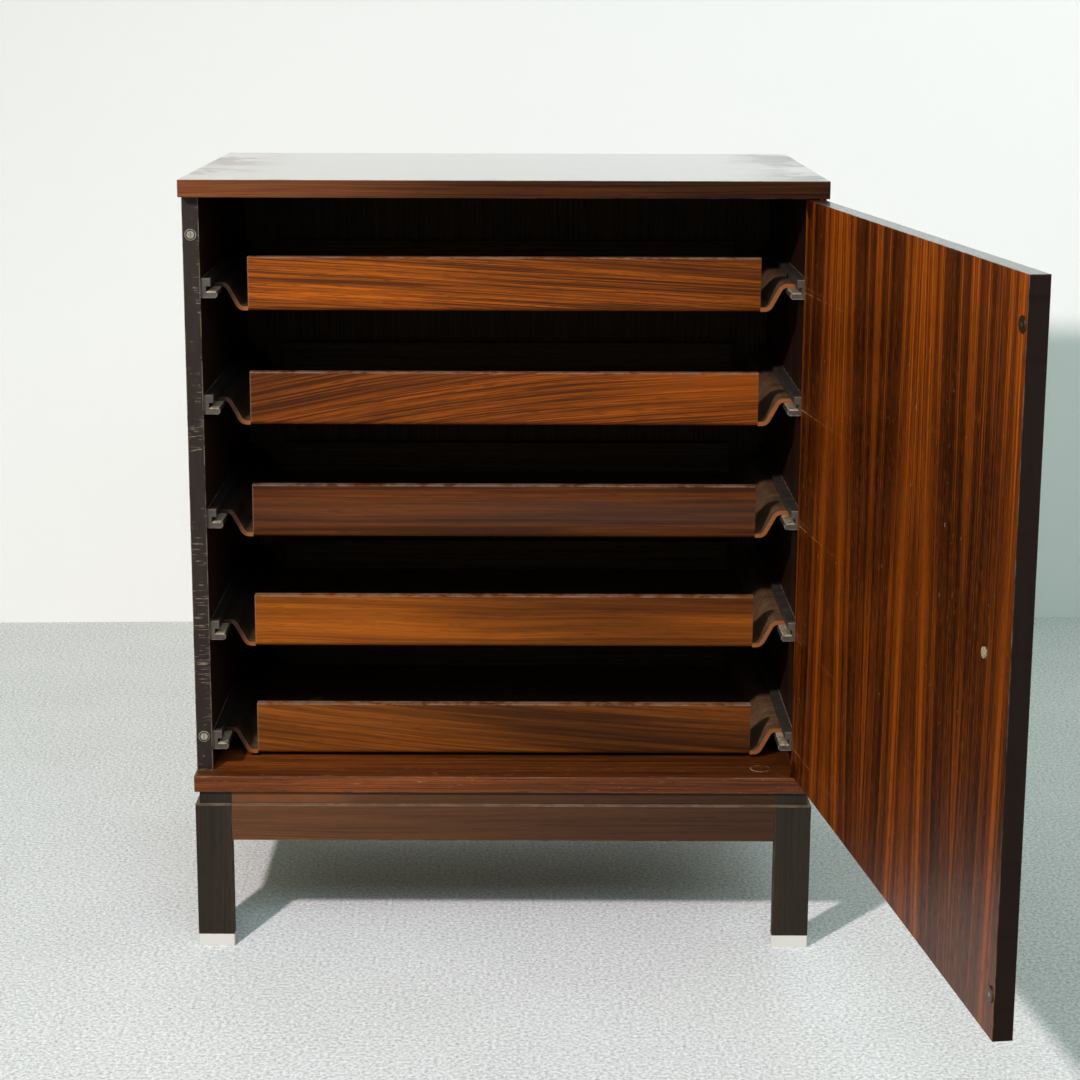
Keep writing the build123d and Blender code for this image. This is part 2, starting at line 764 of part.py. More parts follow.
# Trays
tray_front = -half_depth + tray_inset
tray_length = back_front - tray_rear_gap - tray_front
tray_reach = side_inner - rail_web - tray_side_play
lip_over_slot = glide_height + tray_lift + tray_ply / 2
tray_plane = facing.offset(-tray_front)
tray_turn = tray_reach - tray_lip_width
tray_flat = tray_turn - tray_slope_run
tray_front_length = 2 * (tray_flat - tray_front_set_in)
for n in range(rail_count):
    lip_height = rail_tops[n] - slot_foot + lip_over_slot
    tray_foot = lip_height - tray_drop - tray_ply / 2
    with BuildPart() as shell:
        with BuildSketch(tray_plane):
            with BuildLine():
                FilletPolyline(
                    (-tray_reach, lip_height),
                    (-tray_turn, lip_height),
                    (-tray_flat, lip_height - tray_drop),
                    (tray_flat, lip_height - tray_drop),
                    (tray_turn, lip_height),
                    (tray_reach, lip_height),
                    radius=tray_bend,
                )
            trace(line_width=tray_ply)
        extrude(amount=-tray_length)
        notch = (0, tray_front + (tray_front_thickness - overrun) / 2)
        notch_depth = tray_front_thickness + overrun
        notch_level = level.offset(tray_foot - overrun)
        notch_height = tray_ply + 2 * overrun
        block(notch_level, notch, tray_front_length, notch_depth, notch_height, Mode.SUBTRACT)
        notch = (0, tray_front + tray_length - (tray_front_thickness - overrun) / 2)
        block(notch_level, notch, tray_front_length, notch_depth, notch_height, Mode.SUBTRACT)
    finish(shell, f"tray_{rail_names[n]}_shell")

    with BuildPart() as front_board:
        centre = (0, tray_front + tray_front_thickness / 2)
        foot = level.offset(tray_foot)
        block(foot, centre, tray_front_length, tray_front_thickness, tray_front_height)
        lengthwise = front_board.edges().filter_by(Axis.X).group_by(Axis.Z)
        fillet(lengthwise[0].sort_by(Axis.Y)[0], tray_front_toe)
        fillet(lengthwise[-1], tray_front_round)
    finish(front_board, f"tray_{rail_names[n]}_front")

    with BuildPart() as back_board:
        centre = (0, tray_front + tray_length - tray_front_thickness / 2)
        block(foot, centre, tray_front_length, tray_front_thickness, tray_back_height)
        lengthwise = back_board.edges().filter_by(Axis.X).group_by(Axis.Z)
        fillet(lengthwise[-1], tray_back_round)
    finish(back_board, f"tray_{rail_names[n]}_back")
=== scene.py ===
"""Finishes and stage for a low dark wood tray cabinet with its door open."""

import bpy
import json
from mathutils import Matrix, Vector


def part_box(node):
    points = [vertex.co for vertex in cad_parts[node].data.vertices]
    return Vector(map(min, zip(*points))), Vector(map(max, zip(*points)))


bl_info = {
    "name": "Tray Cabinet",
    "version": (1, 0, 0),
    "blender": (4, 5, 0),
    "location": "View3D > Sidebar > Cabinet",
    "description": "Gives a low tray cabinet its woods, metals and plastics, and sets its stage",
    "category": "Object",
}

import json
import math

import bpy
from bpy.props import FloatProperty, FloatVectorProperty, PointerProperty
from mathutils import Matrix, Vector

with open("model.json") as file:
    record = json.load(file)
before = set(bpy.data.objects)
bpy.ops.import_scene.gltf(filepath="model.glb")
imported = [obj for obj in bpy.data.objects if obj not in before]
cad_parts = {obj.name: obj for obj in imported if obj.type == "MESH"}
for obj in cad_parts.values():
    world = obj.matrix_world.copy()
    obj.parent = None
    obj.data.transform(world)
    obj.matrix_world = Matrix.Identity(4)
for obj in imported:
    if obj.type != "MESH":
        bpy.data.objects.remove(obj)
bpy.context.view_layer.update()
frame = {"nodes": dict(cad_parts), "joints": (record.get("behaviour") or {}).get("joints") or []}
NODES = frame["nodes"]


BOARD_LOW, BOARD_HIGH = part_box("top_board")
CARCASS = Vector(((BOARD_LOW[0] + BOARD_HIGH[0]) / 2, (BOARD_LOW[1] + BOARD_HIGH[1]) / 2, 0))
HINGE = Vector(next(joint["pos_m"] for joint in frame["joints"] if joint["name"] == "door_hinge"))
HINGE.z = 0
DOOR_TURN = math.radians(-82.3)
TRAYS = (1, 2, 3, 4, 5)
PLUG_RADIUS = 0.0115
REBATE = 0.016  # height of the step along the top of the leg frame

# The door's corners from its hinge, turned back to the front of the carcass.
DOOR_LOW, DOOR_HIGH = (-0.008, -0.0148, 0.2118), (0.710, 0.004, 0.8794)
DOOR_SHARE = 1.5  # how many door heights go into a metre
LEAF_START, LEAF_WIDTH = 0.136, 0.1475  # a seam of the door's veneer and the width of a leaf
TOP_SCUFF, SCUFF_STEP = 0.7765, 0.1327  # heights of the scuffs on the door, one for each tray

# The coordinates along a grain, across it and into the wood.
GRAIN_X, GRAIN_X_FLAT, GRAIN_Y = (0, 2, 1), (0, 1, 2), (1, 2, 0)
GRAIN_Z, GRAIN_Z_DEEP = (2, 0, 1), (2, 1, 0)


def carcass_point(x, y, z):
    """A place measured from the carcass's middle on the floor, in metres."""
    return CARCASS + Vector((x, y, z))


def box_of(node):
    """A node's two corners, measured from the carcass's middle on the floor."""
    return [Vector(corner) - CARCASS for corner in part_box(node)]


def rgb(red, green, blue):
    """A colour as it is seen on screen, turned into the light that a surface sends back."""
    seen = (red / 255, green / 255, blue / 255)
    return tuple(c / 12.92 if c <= 0.04045 else ((c + 0.055) / 1.055) ** 2.4 for c in seen)


def mid(first, second, share):
    """A colour between two others."""
    return tuple(a + (b - a) * share for a, b in zip(first, second))


def darker(tone, share):
    """A colour times a number, which may also be over 1."""
    return tuple(c * share for c in tone)


def colour(name, words, value):
    """A colour that a user may change."""
    return FloatVectorProperty(
        name=name, description=words, default=value, size=3, min=0, max=1, subtype="COLOR"
    )


def number(name, words, value, **limits):
    """A number that a user may change."""
    return FloatProperty(name=name, description=words, default=value, **limits)


class CabinetWoods(bpy.types.PropertyGroup):
    """Colours and wear of the woods."""

    board: colour("Boards", "Veneer of the top and bottom boards", rgb(86, 42, 11))
    side: colour("Sides", "Veneer of the side panels", rgb(34, 16, 7))
    side_edge: colour("Side edges", "Front edges of the side panels", rgb(32, 24, 19))
    rear: colour("Rear panel", "Rear panel and the backs of the trays", rgb(68, 48, 30))
    door: colour("Door", "Ground colour of the door's veneer", rgb(69, 29, 4))
    door_stripe: colour("Door stripe", "Bright stripes of the door's veneer", rgb(138, 66, 8))
    door_edge: colour("Door edges", "Edges of the door", rgb(24, 14, 9))
    tray_1: colour("Tray 1", "Front of the top tray", rgb(112, 53, 3))
    tray_2: colour("Tray 2", "Front of the second tray", rgb(102, 47, 3))
    tray_3: colour("Tray 3", "Front of the third tray", rgb(80, 38, 7))
    tray_4: colour("Tray 4", "Front of the fourth tray", rgb(116, 59, 7))
    tray_5: colour("Tray 5", "Front of the bottom tray", rgb(97, 50, 10))
    ply_edge: colour("Ply edge", "Cut edge of the moulded plywood", rgb(122, 70, 34))
    ply_face: colour("Ply face", "Face veneer of the moulded plywood", rgb(88, 65, 44))
    leg: colour("Legs", "Stained legs", rgb(36, 28, 20))
    apron: colour("Aprons", "Stained aprons", rgb(66, 39, 19))
    block: colour("Hidden wood", "Corner blocks and dowels", rgb(140, 104, 66))
    worn: colour("Worn edge", "Rubbed arrises and dust", rgb(126, 110, 92))
    grain: number("Grain", "Fineness of the grain", 1, min=0.2, max=5)
    wear: number("Wear", "Amount of wear", 1, min=0, max=2)


class CabinetFittings(bpy.types.PropertyGroup):
    """Colours of the fittings."""

    rail: colour("Rails", "Dark moulded rails", rgb(66, 60, 52))
    nylon: colour("Glides", "Cream glides", rgb(152, 140, 114))
    shoe: colour("Shoes", "Pale leg shoes", rgb(190, 188, 180))
    nickel: colour("Catches", "Magnet buttons in the left panel", rgb(176, 170, 152))
    steel: colour("Steel", "Screws and plates", rgb(176, 170, 158))


class CabinetStage(bpy.types.PropertyGroup):
    """Floor, wall, lamps and camera."""

    floor: colour("Floor", "Pale felt floor", rgb(201, 204, 202))
    wall: colour("Wall", "White wall", rgb(213, 215, 211))
    lens: number("Lens", "Focal length", 77.43, unit="CAMERA")
    key: number("Key lamp", "Strength of the lamp at the left", 11.2)
    front: number("Front lamp", "Strength of the soft lamp over the camera", 70)
    side: number("Side lamp", "Strength of the soft lamp at the right", 12)
    room: number("Room", "Strength of the room's light", 0.3)


class Value:
    """A socket of a node tree that can be used in sums."""

    def __init__(self, tree, socket):
        self.tree = tree
        self.socket = socket

    def _math(self, operation, *values, clamp=False):
        settings = {"operation": operation, "use_clamp": clamp}
        return Nodes(self.tree).add("ShaderNodeMath", settings, dict(enumerate(values)))

    def __add__(self, other):
        return self._math("ADD", self, other)

    def __radd__(self, other):
        return self._math("ADD", other, self)

    def __sub__(self, other):
        return self._math("SUBTRACT", self, other)

    def __rsub__(self, other):
        return self._math("SUBTRACT", other, self)

    def __mul__(self, other):
        return self._math("MULTIPLY", self, other)

    def __rmul__(self, other):
        return self._math("MULTIPLY", other, self)

    def __abs__(self):
        return self._math("ABSOLUTE", self)

    def clamped(self):
        return self._math("ADD", self, 0.0, clamp=True)

    def larger(self, other):
        return self._math("MAXIMUM", self, other)

    def folded(self, width):
        """Distance back and forth between 0 and a width, as in mirrored leaves of veneer."""
        return self._math("PINGPONG", self, width)

    def rise(self, low, high):
        """0 at low and 1 at high, with a smooth step between; high may be the smaller."""
        settings = {"interpolation_type": "SMOOTHSTEP"}
        inputs = {"Value": self, "From Min": min(low, high), "From Max": max(low, high)}
        result = Nodes(self.tree).add("ShaderNodeMapRange", settings, inputs, "Result")
        return result if high >= low else 1 - result

    def near(self, place, width):
        """1 at a place and 0 further from it than a width."""
        return abs(self - place).rise(width, width * 0.2)


def place_stops(elements, stops):
    """Give a ramp its stops, each a place and a colour."""
    while len(elements) < len(stops):
        elements.new(0.5)
    for element, (place, shade) in zip(elements, stops):
        element.position = place
        element.color = (*shade, 1)


class Nodes:
    """A node tree whose nodes are added one at a time."""

    def __init__(self, tree):
        self.tree = tree

    def add(self, kind, settings=None, inputs=None, output=0):
        """One node: its settings or stops first, then the values or links of its sockets."""
        node = self.tree.nodes.new(kind)
        for key, value in (settings or {}).items():
            if key == "stops":
                place_stops(node.color_ramp.elements, value)
            else:
                setattr(node, key, value)
        for key, value in (inputs or {}).items():
            if isinstance(value, Value):
                self.tree.links.new(value.socket, node.inputs[key])
            else:
                node.inputs[key].default_value = value
        return Value(self.tree, node.outputs[output])

    def link(self, value, node, name):
        """Link a value to a socket of a node that the tree already has."""
        self.tree.links.new(value.socket, self.tree.nodes[node].inputs[name])

    def split(self, vector):
        """The three parts of a vector."""
        first = self.add("ShaderNodeSeparateXYZ", None, {0: vector})
        return [Value(self.tree, socket) for socket in first.socket.node.outputs]

    def vector(self, x, y, z):
        """A vector from its three parts."""
        return self.add("ShaderNodeCombineXYZ", None, {0: x, 1: y, 2: z})

    def noise(self, vector, scale=1.0, detail=2.0, roughness=0.5):
        """Smooth noise between about 0.25 and 0.75."""
        inputs = {"Vector": vector, "Scale": scale, "Detail": detail, "Roughness": roughness}
        return self.add("ShaderNodeTexNoise", None, inputs)

    def streaks(self, spots, scales, detail=2.0, roughness=0.5):
        """Noise with its own scale for each coordinate."""
        parts = (spot * scale for spot, scale in zip(spots, scales))
        return self.noise(self.vector(*parts), 1.0, detail, roughness)

    def ramp(self, value, stops):
        """A colour for each value, blended between stops."""
        return self.add("ShaderNodeValToRGB", {"stops": stops}, {"Fac": value}, "Color")

    def mix(self, factor, first, second):
        """Two colours mixed by a factor."""
        first, second = (c if isinstance(c, Value) else (*c, 1) for c in (first, second))
        inputs = {"Factor": factor, 6: first, 7: second}
        return self.add("ShaderNodeMix", {"data_type": "RGBA"}, inputs, 2)

    def dim(self, shade, factor):
        """A colour times a number."""
        inputs = {"Vector": shade, "Scale": factor}
        return self.add("ShaderNodeVectorMath", {"operation": "SCALE"}, inputs)


class Finish(Nodes):
    """A material made of nodes."""

    def __init__(self, name, **constants):
        self.material = bpy.data.materials.new(name)
        self.material.use_nodes = True
        super().__init__(self.material.node_tree)
        self.shader = self.tree.nodes["Principled BSDF"]
        for key, value in constants.items():
            title = key.replace("_", " ").title().replace("Ior", "IOR")
            self.shader.inputs[title].default_value = value

    def feed(self, name, value):
        """Link a value to a socket of the shader."""
        self.link(value, "Principled BSDF", name)

    def here(self):
        """The surface's place as one vector."""
        return self.add("ShaderNodeTexCoord", output="Object")

    def place(self, origin=CARCASS, turn=0.0):
        """The three coordinates of the surface, from an origin and turned about Z."""
        inputs = {"Vector": self.here(), "Location": tuple(origin), "Rotation": (0, 0, turn)}
        return self.split(self.add("ShaderNodeMapping", {"vector_type": "TEXTURE"}, inputs))

    def facing(self, turn=0.0):
        """The three parts of the surface's own direction, turned back about Z."""
        normal = self.add("ShaderNodeTexCoord", output="Normal")
        inputs = {"Vector": normal, "Rotation": (0, 0, turn)}
        return self.split(self.add("ShaderNodeMapping", {"vector_type": "TEXTURE"}, inputs))

    def bump(self, height, distance, strength=1.0):
        """Feed a height to the surface's direction."""
        inputs = {"Height": height, "Distance": distance, "Strength": strength}
        self.feed("Normal", self.add("ShaderNodeBump", None, inputs))


def arris(spots, low, high, width):
    """Near 1 on the edges of a box and 0 on its faces."""
    near = []
    for spot, small, large in zip(spots, low, high):
        distance = (large - small) / 2 - abs(spot - (small + large) / 2)
        near.append(distance.rise(width, width * 0.1))
    first, second, third = near
    return (first * second).larger(second * third).larger(first * third)


def wood(finish, spots, axes, mean, *, scale=1.0, wander=1.0, shift=0.0, tilt=0.0, bow=0.0,
         figure=0.5, stripes=0.8, lines=0.7, pores=0.6, spread=1.0, gloss=0.4):
    """A lacquered wood. axes name the coordinates along the grain, across it and into the wood.

    shift picks another stretch of the figure; wander, tilt and bow make the grain uneven, lean
    and bend; figure, stripes, lines and pores weigh the layers, and spread parts their tones.
    """
    along, across, through = (spots[n] for n in axes)

    def layer(sideways, scales, detail, roughness=0.5):
        """Noise with its own scale along the grain, across it and into the wood."""
        y, z = sideways * scales[1], through * scales[2]
        place = finish.vector(y, z, along * scales[0] + shift)
        return finish.noise(place, scale, detail, roughness)

    slope = along * tilt + along * along * bow
    slow = layer(across, (2.2, 8, 8), 2.0)
    bent = across + slope + (slow - 0.5) * (0.016 * wander)
    broad = layer(bent, (1.3, 26, 20), 3.0, 0.55)
    bands = layer(bent, (2.4, 120, 90), 3.0, 0.6)
    fine = layer(bent, (5, 540, 300), 3.0, 0.65)
    hairs = layer(bent, (3.5, 610, 400), 1.0)
    dashes = layer(bent, (40, 900, 600), 2.0)
    value = 0.5 + (broad - 0.5) * figure + (bands - 0.5) * stripes + (fine - 0.5) * lines
    dark, light = darker(mean, 1 - 0.62 * spread), darker(mean, 1 + 0.62 * spread)
    base = finish.ramp(value.clamped(), ((0.27, dark), (0.5, mean), (0.73, light)))
    base = finish.mix(hairs.rise(0.51, 0.62) * (0.75 * lines), base, darker(mean, 0.3))
    holes = dashes.rise(0.54, 0.64) * fine.rise(0.36, 0.54)
    finish.base = finish.mix(holes * pores, base, darker(mean, 0.22))
    finish.fine = fine
    finish.broad = broad
    finish.gloss = gloss + (fine - 0.5) * 0.3 + holes * 0.2
    finish.height = fine * 0.4 - holes


def close(finish, relief=0.00005):
    """Link a wood's colour, gloss and relief to its shader."""
    finish.feed("Base Color", finish.base)
    finish.feed("Roughness", finish.gloss.clamped())
    finish.bump(finish.height, relief, 0.5)
    return finish.material


def rub(finish, mask, tone, amount):
    """Mix another, duller tone into a wood through a mask: wear, and in places painted light or
    shade.
    """
    share = (mask * amount).clamped()
    finish.base = finish.mix(share, finish.base, tone)
    finish.gloss = finish.gloss + share * 0.2


def rub_edges(finish, spots, node, width, broken, woods, amount):
    """Wear along the edges of a node's box, where a broken mask lets it through."""
    mask = arris(spots, *box_of(node), width) * broken
    rub(finish, mask, tuple(woods.worn), amount * woods.wear)


def patches(finish, size=38.0, low=0.42, high=0.62):
    """Irregular patches that break up wear."""
    return finish.noise(finish.here(), size, 4.0, 0.65).rise(low, high)


def give(material, *names):
    """Put one material on CAD nodes."""
    for name in names:
        slots = NODES[name].data.materials
        slots.clear()
        slots.append(material)


def lacquer(name, **constants):
    """A wood finish with its own sheen."""
    return Finish(name, **{"coat_roughness": 0.25, "specular_ior_level": 0.18, **constants})


def plain_wood(name, node, axes, mean, **figure):
    """Put a wood with no wear on a CAD node."""
    plain = lacquer(name)
    wood(plain, plain.place(), axes, mean, **figure)
    give(close(plain), node)


class CABINET_OT_boards(bpy.types.Operator):
    """Veneer the top and bottom boards and the plugs"""

    bl_idname = "cabinet.boards"
    bl_label = "Boards"

    def top(self, woods, mean):
        """A dark veneer under a lacquer that mirrors the wall."""
        top = lacquer("top_board_veneer", coat_roughness=0.08, specular_ior_level=0.08)
        spots = top.place()
        wood(top, spots, GRAIN_X, darker(mean, 0.33), scale=woods.grain, wander=0.4, shift=3.1,
             stripes=0.7, lines=1.2)
        # Painted light: the left end, towards the key lamp, is mixed towards an amber tone.
        painted_lit_end = spots[0].rise(0.02, -0.36)
        amber = top.dim(rgb(116, 65, 34), top.fine * 2.8 - 0.4)
        top.base = top.mix(painted_lit_end * 0.75, top.base, amber)
        upward = top.facing()[2].rise(0.6, 0.9)
        ends = abs(spots[0]).rise(0.24, 0.36) * patches(top, 9.0, 0.4, 0.6)
        front = spots[1].rise(-0.205, -0.229) * patches(top, 16.0, 0.5, 0.66)
        smears = ends.larger(front) * upward
        top.feed("Coat Weight", (upward - smears * 0.3).clamped())
        rub_edges(top, spots, "top_board", 0.0009, patches(top), woods, 0.3)
        top.gloss = top.gloss * (1 - upward * 0.6) + smears * 0.2
        give(close(top), "top_board")

    def lower(self, name, woods, mean):
        """The veneer that the bottom board shares with its plugs, and a painted light that
        brightens it towards the left end, where the lamp stands.
        """
        board = lacquer(name)
        spots = board.place()
        wood(board, spots, GRAIN_X, mean, scale=woods.grain, wander=0.4, shift=7.7, figure=0.9,
             lines=0.9, gloss=0.42)
        return board, spots, 0.85 + spots[0].rise(0.2, -0.36) * 0.75

    def execute(self, context):
        woods = context.scene.cabinet_woods
        mean = tuple(woods.board)
        self.top(woods, mean)

        bottom, spots, lamp = self.lower("bottom_board_veneer", woods, mean)
        upward = bottom.facing()[2].rise(0.6, 0.9)
        # Painted light towards the left end, and painted shade that darkens the board's top face.
        bottom.base = bottom.dim(bottom.base, lamp * (1 - upward * 0.2))
        marks = bottom.streaks(spots, (45, 300, 300), 3.0, 0.7)
        scratched = marks.rise(0.62, 0.7) * spots[1].rise(-0.17, -0.215)
        rub(bottom, scratched, rgb(132, 88, 58), 0.7 * woods.wear)
        broken = patches(bottom, 30.0, 0.46, 0.64)
        rub_edges(bottom, spots, "bottom_board", 0.0012, broken, woods, 0.4)
        give(close(bottom), "bottom_board")

        plug, (x, y, _), lamp = self.lower("plug_wood", woods, mean)
        # Painted light towards the left end, and the same painted shade as the board's top face,
        # over the whole plug.
        plug.base = plug.dim(plug.base, lamp * 0.8)
        high = box_of("board_plugs")[1]
        dx, dy = abs(x) - (high.x - PLUG_RADIUS), abs(y) - (high.y - PLUG_RADIUS)
        rim = ((dx * dx + dy * dy) * (1 / PLUG_RADIUS ** 2)).rise(0.8, 0.95)
        # Painted highlight: a pale rim, shown only on the plugs at the right, where the light
        # falls.
        ring = rim * patches(plug, 60.0, 0.36, 0.6) * x.rise(-0.2, 0.2)
        rub(plug, ring, tuple(woods.worn), 0.75 * woods.wear)
        give(close(plug), "board_plugs")
        return {"FINISHED"}


class CABINET_OT_sides(bpy.types.Operator):
    """Veneer the side panels and stain the rear panel"""

    bl_idname = "cabinet.sides"
    bl_label = "Sides"

    def execute(self, context):
        woods = context.scene.cabinet_woods
        mean, edge, worn = tuple(woods.side), tuple(woods.side_edge), tuple(woods.worn)
        for node, shift in (("left_side", 1.3), ("right_side", 5.2)):
            side = lacquer(f"{node}_veneer")
            spots = side.place()
            wood(side, spots, GRAIN_Z_DEEP, mean, scale=woods.grain, shift=shift, wander=0.5)
            low = box_of(node)[0]
            front = spots[1].rise(low.y + 0.0012, low.y + 0.0002)
            cloudy = side.streaks(spots, (90, 90, 16), 4.0, 0.7)
            side.base = side.mix(front, side.base, side.dim(edge, 0.5 + cloudy))
            cuts = side.streaks(spots, (50, 20, 900))
            gouged = side.streaks(spots, (40, 20, 14), 3.0, 0.6)
            scratched = front * cuts.rise(0.58, 0.68) * gouged.rise(0.48, 0.56)
            rub(side, scratched, worn, 0.9 * woods.wear)
            broken = patches(side, 38.0, 0.38, 0.56)
            rub_edges(side, spots, node, 0.0014, broken, woods, 0.6)
            give(close(side), node)
        plain_wood("rear_panel_ply", "back_panel", GRAIN_Z, tuple(woods.rear), shift=9.1,
                   spread=0.6, gloss=0.6)
        return {"FINISHED"}


class CABINET_OT_door(bpy.types.Operator):
    """Veneer the door with mirrored leaves"""

    bl_idname = "cabinet.door"
    bl_label = "Door"

    def execute(self, context):
        woods = context.scene.cabinet_woods
        ground, stripe, edge = tuple(woods.door), tuple(woods.door_stripe), tuple(woods.door_edge)
        worn = tuple(woods.worn)
        door = lacquer("door_veneer", specular_ior_level=0.1)
        spots = x, _, z = door.place(HINGE, DOOR_TURN)
        down = (DOOR_HIGH[2] - z) * DOOR_SHARE

        lean = door.noise(door.vector(x * 3, z * 2.5, 0.0))
        leaf = (x - LEAF_START).folded(LEAF_WIDTH) - down * 0.008 - down * down * 0.012
        leaf = leaf + (lean - 0.5) * 0.006
        cloud = door.noise(door.vector(leaf * 26, z * 5, 3.3), 1.0, 3.0, 0.6)
        bands = door.noise(door.vector(leaf * 130, z * 1.2, 1.0), 1.0, 2.0, 0.6)
        pins = door.noise(door.vector(leaf * 300, z * 1.6, 7.0))
        fine = door.noise(door.vector(leaf * 640, z * 6, 5.0), 1.0, 3.0, 0.65)
        dashes = door.noise(door.vector(x * 900, z * 60, 5.0))
        tone = 0.53 + (cloud - 0.5) * 0.7 + (bands - 0.5) * 0.7
        tone = tone + (pins - 0.5) * 1.6 + (fine - 0.5) * 0.9
        dark_leaf = leaf.near(0.085, 0.03).larger(leaf.near(0.124, 0.014))
        dark_leaf = dark_leaf * (0.25 + down.rise(0.7, 0.2) * 0.75)
        warm_leaf = leaf.near(0.012, 0.035) * down.rise(0.8, 0.3)
        warm_leaf = warm_leaf + leaf.near(0.148, 0.012) * down.rise(0.6, 0.3)
        tone = tone + warm_leaf * 0.18 - dark_leaf * 0.38 * (1 - x.rise(0.55, 0.65) * 0.5)
        stops = ((0.12, darker(ground, 0.22)), (0.5, ground),
                 (0.78, mid(ground, stripe, 0.55)), (0.98, stripe))
        door.base = door.ramp(tone.clamped(), stops)

        # Painted light and shade: brighter near the top, darker lower down and across the middle,
        # more so towards the free edge.
        light = 1.27 - down.rise(0.1, 0.5) * 0.38
        light = light - x.rise(0.42, 0.55) * down.rise(0.15, 0.5) * 0.2
        light = light + x.rise(0.4, 0.6) * down.rise(0.35, 0.1) * 0.16
        door.base = door.dim(door.base, light - down.near(0.5, 0.35) * 0.1)
        bright = leaf.near(0.030, 0.0085) * (0.5 + fine * 0.6) * (0.12 + down.rise(0.3, 0.7) * 0.8)
        door.base = door.mix(bright.clamped(), door.base, stripe)
        door.base = door.mix(dashes.rise(0.44, 0.34) * 0.3, door.base, stripe)
        holes = dashes.rise(0.56, 0.66)
        door.base = door.mix(holes * 0.5, door.base, darker(ground, 0.25))
        # Painted reflection: a pale sheen of the lit floor towards the lower free corner.
        painted_floor_sheen = x.rise(0.42, 0.7) * down.rise(0.65, 0.98)
        door.base = door.mix(painted_floor_sheen * 0.3, door.base, rgb(98, 68, 50))

        turned = door.facing(DOOR_TURN)
        rim = abs(turned[1]).rise(0.8, 0.5)
        edge_grain = door.streaks(spots, (300, 500, 6), 3.0, 0.6)
        door.base = door.mix(rim, door.base, door.dim(edge, 0.6 + edge_grain * 0.8))
        upward = turned[2].rise(0.6, 0.9)
        door.feed("Coat Weight", upward)

        inner = turned[1].rise(-0.6, -0.9)
        strands = door.noise(door.vector(x * 12, z * 900, 2.0), 1.0, 3.0, 0.6)
        scuffs = 0.0
        for n in TRAYS:
            height = TOP_SCUFF - SCUFF_STEP * (n - 1)
            line = (z + (strands - 0.5) * 0.004).near(height, 0.0011)
            trace = (z + x * 0.02).near(height + 0.006, 0.0007) * 0.4
            scuffs = scuffs + (line + trace)
        broken = door.noise(door.vector(x * 60, z * 200, 8.0), 1.0, 4.0, 0.7).rise(0.4, 0.62)
        scuffs = scuffs * x.rise(0.2, 0.16) * (0.35 + x.rise(0.1, 0.0) * 0.6) * broken * inner
        door.base = door.mix((scuffs * woods.wear).clamped(), door.base, rgb(150, 92, 46))
        specks = door.streaks(spots, (260, 260, 120)).rise(0.72, 0.76)
        door.base = door.mix(specks * inner * 0.6, door.base, worn)
        rubbed = arris(spots, DOOR_LOW, DOOR_HIGH, 0.0012) * patches(door)
        rubbed = rubbed * (0.25 + x.rise(0.03, 0.0) * 0.6)
        door.base = door.mix((rubbed * woods.wear).clamped(), door.base, worn)

        door.gloss = 0.34 + (fine - 0.5) * 0.25 + holes * 0.15 + scuffs * 0.2
        door.gloss = door.gloss + rim * 0.4 - upward * 0.4
        door.height = fine * 0.3 - holes
        give(close(door), "door")
        return {"FINISHED"}


class CABINET_OT_leg_frame(bpy.types.Operator):
    """Stain the legs and aprons and finish the hidden wood"""

    bl_idname = "cabinet.leg_frame"
    bl_label = "Leg frame"

    def execute(self, context):
        woods = context.scene.cabinet_woods
        leg, apron, worn = tuple(woods.leg), tuple(woods.apron), tuple(woods.worn)
        ledge = box_of("bottom_board")[0].z - REBATE
        pieces = [(f"{end}_{side}_leg", GRAIN_Z, leg)
                  for end in ("front", "back") for side in ("left", "right")]
        pieces += [("front_apron", GRAIN_X, apron), ("back_apron", GRAIN_X, apron)]
        pieces += [("left_apron", GRAIN_Y, apron), ("right_apron", GRAIN_Y, apron)]
        for n, (node, axes, mean) in enumerate(pieces):
            part = lacquer(f"{node}_stain")
            spots = part.place()
            wood(part, spots, axes, mean, scale=woods.grain, shift=1.7 * n, stripes=0.3,
                 lines=0.5, pores=0.3, spread=0.7, gloss=0.5)
            if mean is apron:
                # Painted light: the aprons grow brighter towards the left end, where the lamp
                # stands.
                part.base = part.dim(part.base, 0.62 + spots[0].rise(0.4, -0.4) * 0.9)
                # Painted light: a lighter patch on the band above the ledge at the left end.
                painted_lit_shoulder = spots[2].rise(ledge + 0.001, ledge + 0.003) * spots[0].rise(-0.15, -0.22)
                rub(part, painted_lit_shoulder * patches(part, 20.0, 0.35, 0.6), rgb(100, 59, 31), 0.8)
            step = spots[2].near(ledge, 0.0011) * (0.55 + patches(part, 60.0) * 0.45)
            rub(part, step, worn, 0.6 * woods.wear)
            rub_edges(part, spots, node, 0.0014, patches(part, 50.0), woods, 0.35)
            give(close(part), node)
        hidden = tuple(woods.block)
        plain_wood("block_wood", "corner_blocks", GRAIN_X, hidden, spread=0.4, gloss=0.65)
        plain_wood("dowel_wood", "carcass_dowels", GRAIN_Z, hidden, spread=0.4, gloss=0.65)
        return {"FINISHED"}


TRAY_FIGURES = {
    1: dict(tilt=0.055, bow=0.01, wander=0.35, figure=0.3, stripes=0.25, lines=1.3, spread=1.15),
    2: dict(tilt=-0.12, bow=0.12, wander=0.9, figure=0.4, stripes=0.35, lines=1.2, spread=1.1),
    3: dict(wander=0.6, figure=1.1, stripes=1.3, lines=0.5, pores=0.4),
    4: dict(tilt=0.01, bow=-0.05, wander=2.2, figure=1.0, stripes=0.5, lines=0.45, pores=0.35),
    5: dict(tilt=0.085, bow=-0.06, figure=0.9, stripes=0.9, lines=0.6, pores=0.45),
}


